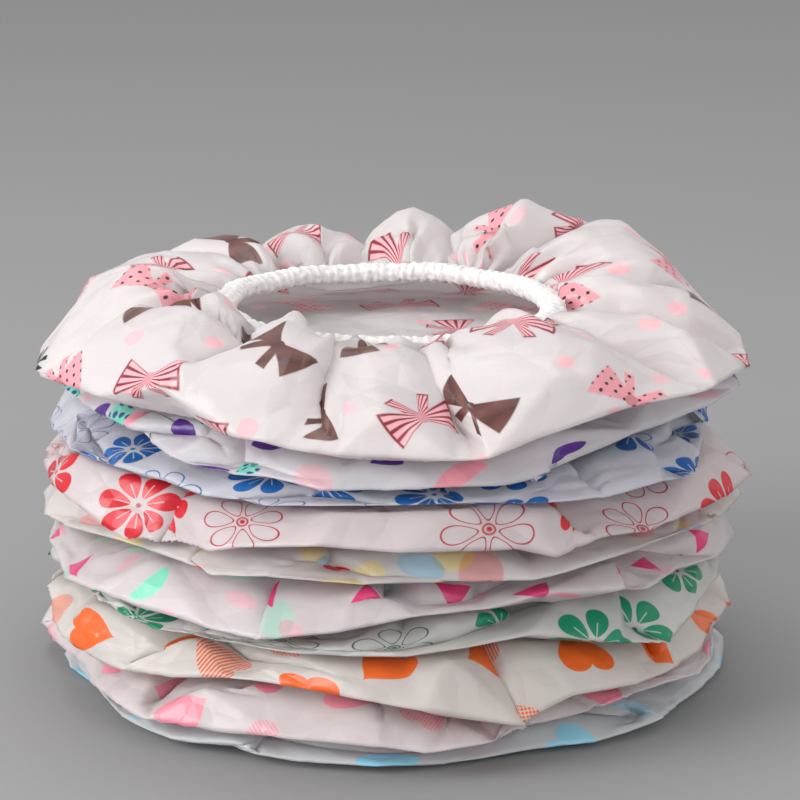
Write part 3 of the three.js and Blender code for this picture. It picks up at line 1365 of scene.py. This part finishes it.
@dataclass(frozen=True)
class PolarSheet:
    """A disc of film as a mesh of rows and columns, laid from a drape."""

    drape: FilmDrape
    rows: int
    columns: int
    middle: int = 5
    thickness: float = 0.2 * MM
    facets: int = 320
    rim_corners: int = 34
    jitter: float = 0.38
    edge: float = 14 * MM
    flatness: float = 0.82
    dent: float = 1.0 * MM
    plain: float = 85 * MM
    puff: float = 0.0

    def radii(self) -> np.ndarray:
        """The radius of every row on the flat disc."""
        near = np.linspace(0, self.drape.inner, self.middle, endpoint=False)
        return np.append(near, np.linspace(self.drape.inner, self.drape.disc, self.rows))

    def disc(self) -> bpy.types.Mesh:
        """Spins a flat disc from a line of points, with a map of its places.

        Returns:
            The disc, one row for each radius.
        """
        made = bmesh.new()
        last = bmesh.ops.create_vert(made, co=(0, 0, 0))["vert"][0]
        for radius in self.radii()[1:]:
            grown = bmesh.ops.extrude_vert_indiv(made, verts=[last])
            last = grown["verts"][0]
            last.co = (radius, 0, 0)
        spin_round(made, self.columns)
        bmesh.ops.remove_doubles(made, verts=made.verts, dist=SAME_PLACE)
        bmesh.ops.recalc_face_normals(made, faces=made.faces)
        layer = made.loops.layers.uv.new(FLAT_MAP)
        for face in made.faces:
            face.smooth = True
            for corner in face.loops:
                corner[layer].uv = corner.vert.co.xy
        return as_mesh(f"disc_{self.rows}_{self.columns}", made)

    @staticmethod
    def between(values: np.ndarray, places: np.ndarray) -> np.ndarray:
        """Reads rows of points between the rows, along smooth curves.

        Args:
            values: the points, one row after another along the first axis.
            places: where to read, counted in rows.

        Returns:
            The points at those places.
        """
        last = len(values) - 1
        base = np.minimum(places.astype(int), last - 1)
        share = (places - base).reshape(-1, *[1] * (values.ndim - 1))
        p0 = values[np.maximum(base - 1, 0)]
        p1 = values[base]
        p2 = values[base + 1]
        p3 = values[np.minimum(base + 2, last)]
        bend = 2 * p0 - 5 * p1 + 4 * p2 - p3
        turn = 3 * (p1 - p2) + p3 - p0
        return p1 + share / 2 * (p2 - p0 + share * (bend + share * turn))

    def laid(self, points: np.ndarray) -> np.ndarray:
        """Turns a drape's points into the mesh's rows and columns.

        Args:
            points: one cap's points from the drape.

        Returns:
            The points of every row, the middle of the crown first.
        """
        rows = self.between(points, np.linspace(0, len(points) - 1, self.rows))
        wrapped = np.concatenate([rows[:, -2:], rows, rows[:, :3]], axis=1)
        places = 2 + np.arange(self.columns) * points.shape[1] / self.columns
        rows = np.moveaxis(self.between(np.moveaxis(wrapped, 1, 0), places), 0, 1)
        centre = rows[0].mean(axis=0)
        near = np.linspace(0, 1, self.middle, endpoint=False)[:, None, None]
        return np.concatenate([centre + near * (rows[0] - centre), rows])

    def puffed(self, rows: np.ndarray) -> np.ndarray:
        """Lifts the film behind the ring, where air holds it up highest.

        Args:
            rows: the points of every row and column.

        Returns:
            The lifted points.
        """
        rim = np.hypot(rows[..., 0], rows[..., 1]).argmax(axis=0).mean()
        along = (np.arange(len(rows))[:, None] - rim) / (len(rows) - 1 - rim)
        behind = np.sin(np.arctan2(rows[..., 1], rows[..., 0])).clip(0, 1)
        lifted = rows.copy()
        lifted[..., 2] += self.puff * np.sin(math.pi * along.clip(0, 1)) * behind**2
        return lifted

    def corners(self, rows: np.ndarray, rng: np.random.Generator) -> tuple[np.ndarray, np.ndarray]:
        """Where creases meet: corners along the rim, in order, then corners scattered over the disc.

        Args:
            rows: the points of every row and column.
            rng: the film's chances.

        Returns:
            The row and the column of every corner.
        """
        steps = np.arange(self.rim_corners) + rng.uniform(-self.jitter, self.jitter, self.rim_corners)
        rim_column = (steps * self.columns / self.rim_corners).astype(int) % self.columns
        rim = np.hypot(rows[..., 0], rows[..., 1]).argmax(axis=0)
        reach = np.sqrt(rng.uniform(0, 1, self.facets)) * self.drape.disc
        radii = self.radii()
        row = np.searchsorted(radii, reach).clip(0, len(radii) - 1)
        column = rng.integers(self.columns, size=self.facets)
        apart = abs(reach - radii[rim[column]]) > self.edge
        return np.append(rim[rim_column], row[apart]), np.append(rim_column, column[apart])

    def creased(self, rows: np.ndarray, rng: np.random.Generator) -> np.ndarray:
        """Flattens the film between the corners of its creases, into flat facets with sharp edges.

        Args:
            rows: the points of every row and column.
            rng: the film's chances.

        Returns:
            The creased points, which stay smooth near the elastic.
        """
        row, column = self.corners(rows, rng)
        across = np.roll(rows, -1, 1) - np.roll(rows, 1, 1)
        out = np.cross(across, np.gradient(rows, axis=0))[row, column]
        out /= np.linalg.norm(out, axis=-1, keepdims=True) + TINY
        tops = rows[row, column] + out * self.dent * rng.uniform(-1, 1, (len(row), 1))
        tops[:, 2] = np.maximum(tops[:, 2], rows[..., 2].min())
        radii = self.radii()[:, None]
        angle = np.arange(self.columns) * TURN / self.columns
        at = np.stack([radii * np.cos(angle), radii * np.sin(angle)], -1)
        seeds = [Vector(place) for place in at[row, column]]
        rim = [(index, (index + 1) % self.rim_corners) for index in range(self.rim_corners)]
        places, _, faces, sources, _, _ = geometry.delaunay_2d_cdt(seeds, rim, [], 0, SAME_PLACE)
        at = at.reshape(-1, 2)
        flat = rows.reshape(-1, 3).copy()
        for face in faces:
            corners = np.array([places[corner] for corner in face])
            boxed = (at >= corners.min(axis=0)) & (at <= corners.max(axis=0))
            near = np.flatnonzero(boxed.all(axis=1))
            known = np.vstack([at[near].T, np.ones(len(near))])
            shares = np.linalg.solve(np.vstack([corners.T, np.ones(3)]), known)
            inside = (shares >= -TINY).all(axis=0)
            flat[near[inside]] = shares[:, inside].T @ tops[[sources[corner][0] for corner in face]]
        share = self.flatness * np.clip((self.drape.disc - radii) / self.plain, 0, 1)
        return rows + share[..., None] * (flat.reshape(rows.shape) - rows)

    def piece(
        self, name: str, disc: bpy.types.Mesh, points: np.ndarray, rng: np.random.Generator
    ) -> bpy.types.Object:
        """Makes one cap's film.

        Args:
            name: the piece's name.
            disc: the flat disc.
            points: the cap's points from the drape.
            rng: the film's chances.

        Returns:
            The film, as a thin closed sheet with its flat map.
        """
        mesh = disc.copy()
        mesh.name = name
        flat = np.zeros(len(mesh.vertices) * 3)
        mesh.vertices.foreach_get("co", flat)
        flat = flat.reshape(-1, 3)
        row = np.searchsorted(self.radii(), np.hypot(flat[:, 0], flat[:, 1]) - 10 * SAME_PLACE)
        turn = np.arctan2(flat[:, 1], flat[:, 0]) * self.columns / TURN
        column = np.rint(turn).astype(int) % self.columns
        laid = self.creased(self.puffed(self.laid(points)), rng)
        mesh.vertices.foreach_set("co", laid[row, column].astype(np.float32).ravel())
        mesh.update()
        film = placed(name, mesh)
        skin = film.modifiers.new("thickness", "SOLIDIFY")
        skin.thickness = self.thickness
        skin.offset = 0
        return film


@dataclass(frozen=True)
class CrimpedBinding:
    """The strip that is folded over the film's edge and crimped by the elastic inside it."""

    place: CapPlace
    crimp: float = 4.6 * MM
    depth: float = 1.9 * MM
    rows: int = 7
    per_crimp: int = 5
    section: int = 24
    sway: float = 1.2 * MM
    bob: float = 1.5 * MM
    sway_noise: float = 2.6
    slow_noise: float = 9
    fine_noise: float = 38
    lumps: float = 0.35
    pinches: float = 0.4
    grain: float = 0.4
    level: float = 0.55
    # painted shade in the pits: its strength where the face sinks lowest, and how fast it fades towards
    # the crests
    pit: float = 0.75
    pit_shade_slope: float = 1.2

    @property
    def crimps(self) -> int:
        """How many crimps go round the ring."""
        return round(TURN * self.place.ring / self.crimp)

    @staticmethod
    def on_circle(turn: float, radius: float, height: float) -> Vector:
        """A place on a level circle."""
        return Vector((math.cos(turn) * radius, math.sin(turn) * radius, height))

    def wander(self, turn: float) -> tuple[float, float]:
        """How far the strip strays from its ring, outward and up.

        Args:
            turn: the angle round the ring.

        Returns:
            The two distances in metres.
        """
        at = self.on_circle(turn, self.sway_noise, self.place.crown * 90)
        return self.sway * noise.noise(at), self.bob * noise.noise(at + Vector((9, 4, 2)))

    def height(self, turn: float, side: float) -> float:
        """How far the strip's face stands out at one place, as a share of its depth.

        Args:
            turn: the angle round the ring.
            side: the angle round the strip's section.

        Returns:
            About 0 in the pits and 1 on the crests.
        """
        seed = self.place.crown * 70
        slow = noise.noise(self.on_circle(turn, self.slow_noise, seed))
        lump = math.cos(turn * self.crimps + 2.2 * slow) * math.cos(side * self.rows / 2 + 2 * slow)
        pinch = abs(math.sin(turn * self.crimps / 2 + 1.1 * slow)) ** 0.6
        at = self.on_circle(turn, self.fine_noise, seed + side * 1.6)
        puckers = self.pinches * pinch * (1 + noise.noise(at))
        return self.lumps * abs(lump) ** 0.7 + puckers + self.grain * noise.noise(at * 1.9)

    def piece(self, name: str, levels: int) -> bpy.types.Object:
        """Makes the strip.

        Args:
            name: the piece's name.
            levels: how often the strip is subdivided.

        Returns:
            The strip as a closed crimped tube.
        """
        low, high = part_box(self.place.kind.node("binding"))
        middle = self.elastic_radius()
        wide = (high.x - low.x) / 2 - middle - self.depth / 2
        tall = (high.z - low.z) / 2 - self.depth / 2
        made = bmesh.new()
        stand = Matrix.Rotation(math.pi / 2, 4, "X")
        ring = bmesh.ops.create_circle(made, segments=self.section, radius=1.0, matrix=stand)["verts"]
        bmesh.ops.scale(made, vec=(wide, 1, tall), verts=ring)
        bmesh.ops.translate(made, vec=(middle, 0, self.place.band), verts=ring)
        spin_round(made, self.crimps * self.per_crimp)
        bmesh.ops.recalc_face_normals(made, faces=made.faces)
        pits = made.verts.layers.float.new(PIT_SHADE_LAYER)
        for vert in made.verts:
            turn = math.atan2(vert.co.y, vert.co.x)
            outward = self.on_circle(turn, 1, 0)
            off = vert.co.xy.length - middle
            rise = vert.co.z - self.place.band
            side = math.atan2(rise / tall, off / wide)
            height = self.height(turn, side)
            out, up = self.wander(turn)
            face = outward * math.cos(side) + Vector((0, 0, math.sin(side)))
            vert.co += face * (height - self.level) * self.depth + outward * out + Vector((0, 0, up))
            # painted shade: the lower the face, the darker its colour in the pit layer
            vert[pits] = min(1.0, max(0.0, self.pit - height * self.pit_shade_slope))
        strip = placed(name, as_mesh(name, made))
        strip.data.shade_smooth()
        if levels:
            finer = strip.modifiers.new("finer", "SUBSURF")
            finer.levels = levels
            finer.render_levels = levels
        return strip

    def elastic_radius(self) -> float:
        """The radius of the elastic's middle line."""
        elastic = self.place.kind.node("elastic")
        low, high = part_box(elastic)
        inner = min(v.co.xy.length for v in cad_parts[elastic].data.vertices)
        return ((high.x - low.x) / 2 + inner) / 2


@dataclass(frozen=True)
class StitchRow:
    """The thread that holds the strip on the film: one stitch in every pit, on the outer side."""

    binding: CrimpedBinding
    length: float = 3.2 * MM
    thread: float = 0.35 * MM
    inset: float = 1.9 * MM
    slant: float = 0.5
    tilt: float = 0.9

    def piece(self, name: str) -> bpy.types.Object:
        """Makes the row of stitches.

        Args:
            name: the piece's name.

        Returns:
            The stitches as one mesh.
        """
        place = self.binding.place
        low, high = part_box(place.kind.node("binding"))
        made = bmesh.new()
        radius = (high.x - low.x) / 2 - self.inset
        rise = (high.z - low.z) / 4
        for index in range(self.binding.crimps):
            turn = (index + 0.5) * TURN / self.binding.crimps
            out, up = self.binding.wander(turn)
            spin = Matrix.Rotation(turn, 4, "Z")
            shift = Matrix.Translation((radius + out, 0, place.band + rise + up))
            slant = self.slant if index % 2 else -self.slant
            lean = Matrix.Rotation(slant, 4, "X") @ Matrix.Rotation(self.tilt, 4, "Y")
            shape = Matrix.Diagonal((self.thread, self.length / 2, self.thread, 1))
            bmesh.ops.create_uvsphere(
                made, u_segments=8, v_segments=6, radius=1.0, matrix=spin @ shift @ lean @ shape
            )
        row = placed(name, as_mesh(name, made))
        row.data.shade_smooth()
        return row


@dataclass
class ShowerCap:
    """One cap: its film, its binding with the thread, and the elastic of the frame inside it."""

    place: CapPlace
    below: Optional[CapPlace]
    sheet: PolarSheet
    disc: bpy.types.Mesh
    fine: int

    def build(self, points: np.ndarray, strip: bpy.types.Material, thread: bpy.types.Material) -> None:
        """Makes the cap's pieces and ties them to the frame.

        Args:
            points: the cap's points from the drape.
            strip: the bindings' material.
            thread: the stitches' material.
        """
        kind = self.place.kind
        rng = np.random.default_rng((self.sheet.drape.seed, list(Print).index(kind), 1))
        film = self.sheet.piece(kind.node("gathered"), self.disc, points, rng)
        film.data.materials.append(FilmFinish(DESIGNS[kind]).material(kind.node("print")))
        binding = CrimpedBinding(self.place)
        band = binding.piece(kind.node("crimped"), self.fine)
        band.data.materials.append(strip)
        row = StitchRow(binding).piece(kind.node("thread"))
        row.data.materials.append(thread)
        self.tie(film, "film")
        self.tie(band, "binding")
        self.tie(row)
        rests = [kind.node("elastic")]
        if self.below:
            rests.append(self.below.kind.node("gathered"))
        disc = self.sheet.drape.disc
        2 * disc
        2 * disc
        math.pi * disc * disc

    def tie(self, piece: bpy.types.Object, node: str = "") -> None:
        """Lets a piece ride on the cap's body, and hides the node of the frame that it stands for.

        Args:
            piece: the piece.
            node: the piece of the frame that it replaces, if any.
        """
        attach(piece, self.place.kind.body)
        if node:
            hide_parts(self.place.kind.node(node))
        LOG.info("%s: %d vertices", piece.name, len(piece.data.vertices))


@dataclass
class CapStack:
    """The ten caps, one on another."""

    def build(self) -> None:
        """Drapes the film of every cap, then makes the caps and dresses the elastics."""
        places = [CapPlace.read(kind) for kind in Print]
        drape = FilmDrape(places)
        points = drape.run()
        strip = BindingFinish().material("crimped_strip")
        thread = PlainFinish(0xF2F0EE, 0xE4E1DE, 0.7).material("thread")
        rubber = PlainFinish(0xE8DCC8, 0xD9C9B0, 0.75).material("rubber")
        pressed = PolarSheet(drape, 84, 400)
        full = PolarSheet(
            drape, 96, 480, facets=260, flatness=0.85, dent=1.8 * MM, plain=75 * MM, puff=12 * MM
        )
        sheets = [pressed] * (len(places) - 1) + [full]
        discs = {id(sheet): sheet.disc() for sheet in (pressed, full)}
        LOG.info("flat discs spun")
        for level, (place, sheet) in enumerate(zip(places, sheets)):
            below = places[level - 1] if level else None
            cap = ShowerCap(place, below, sheet, discs[id(sheet)], int(sheet is full))
            cap.build(points[level], strip, thread)
            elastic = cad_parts[place.kind.node("elastic")]
            elastic.data.materials.clear()
            elastic.data.materials.append(rubber)
            LOG.info("%s keeps its place in the frame", elastic.name)
        for disc in discs.values():
            bpy.data.meshes.remove(disc)


@dataclass(frozen=True)
class Lamp:
    """A square lamp: its place and its side in metres, and its power in watts."""

    name: str
    place: tuple[float, float, float]
    side: float
    power: float

    def hang(self, aim: Vector) -> None:
        """Adds the lamp, pointed at the stack.

        Args:
            aim: where the lamp points.
        """
        light = bpy.data.lights.new(self.name, "AREA")
        light.shape = "SQUARE"
        light.size = self.side
        light.energy = self.power
        lamp = bpy.data.objects.new(self.name, light)
        lamp.location = self.place
        lamp.rotation_euler = (aim - lamp.location).to_track_quat("-Z", "Y").to_euler()
        bpy.context.collection.objects.link(lamp)


@dataclass
class Studio:
    """A plain floor, soft light and the camera of the photograph."""

    floor: int = 0x949494
    floor_radius: float = 9.0
    daylight: float = 0.64
    lamps: tuple[Lamp, ...] = (
        Lamp("key", (-1.7, -0.8, 0.8), 1.2, 35.0),
        Lamp("fill", (1.1, -1.5, 0.6), 1.4, 10.0),
        Lamp("high", (-0.1, 0.4, 2.0), 1.2, 12.0),
    )
    aim: Vector = Vector((5 * MM, 0, 113 * MM))
    distance: float = 1.4
    elevation: float = math.radians(15.0)
    lens: float = 150.0

    def build(self) -> None:
        """Makes the floor, the lights and the camera."""
        made = bmesh.new()
        bmesh.ops.create_circle(made, cap_ends=True, segments=64, radius=self.floor_radius)
        ground = placed("floor", as_mesh("floor", made))
        ground.data.materials.append(PlainFinish(self.floor, self.floor, 0.9).material("floor"))
        for lamp in self.lamps:
            lamp.hang(self.aim)
        world = bpy.data.worlds.new("studio")
        bpy.context.scene.world = world
        world.use_nodes = True
        sky = world.node_tree.nodes["Background"]
        sky.inputs["Color"].default_value = colour(0xFFFFFF)
        sky.inputs["Strength"].default_value = self.daylight
        self.look()

    def look(self) -> None:
        """Sets the camera and plain colour management."""
        lens = bpy.data.cameras.new("camera")
        lens.lens = self.lens
        camera = bpy.data.objects.new("camera", lens)
        back = Vector((0, -math.cos(self.elevation), math.sin(self.elevation)))
        camera.location = self.aim + back * self.distance
        camera.rotation_euler = (-back).to_track_quat("-Z", "Y").to_euler()
        bpy.context.collection.objects.link(camera)
        scene = bpy.context.scene
        scene.camera = camera
        scene.view_settings.view_transform = "Standard"


def main() -> None:
    """Builds the stack in its studio."""
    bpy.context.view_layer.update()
    CapStack().build()
    Studio().build()


if __name__ == "__main__":
    main()
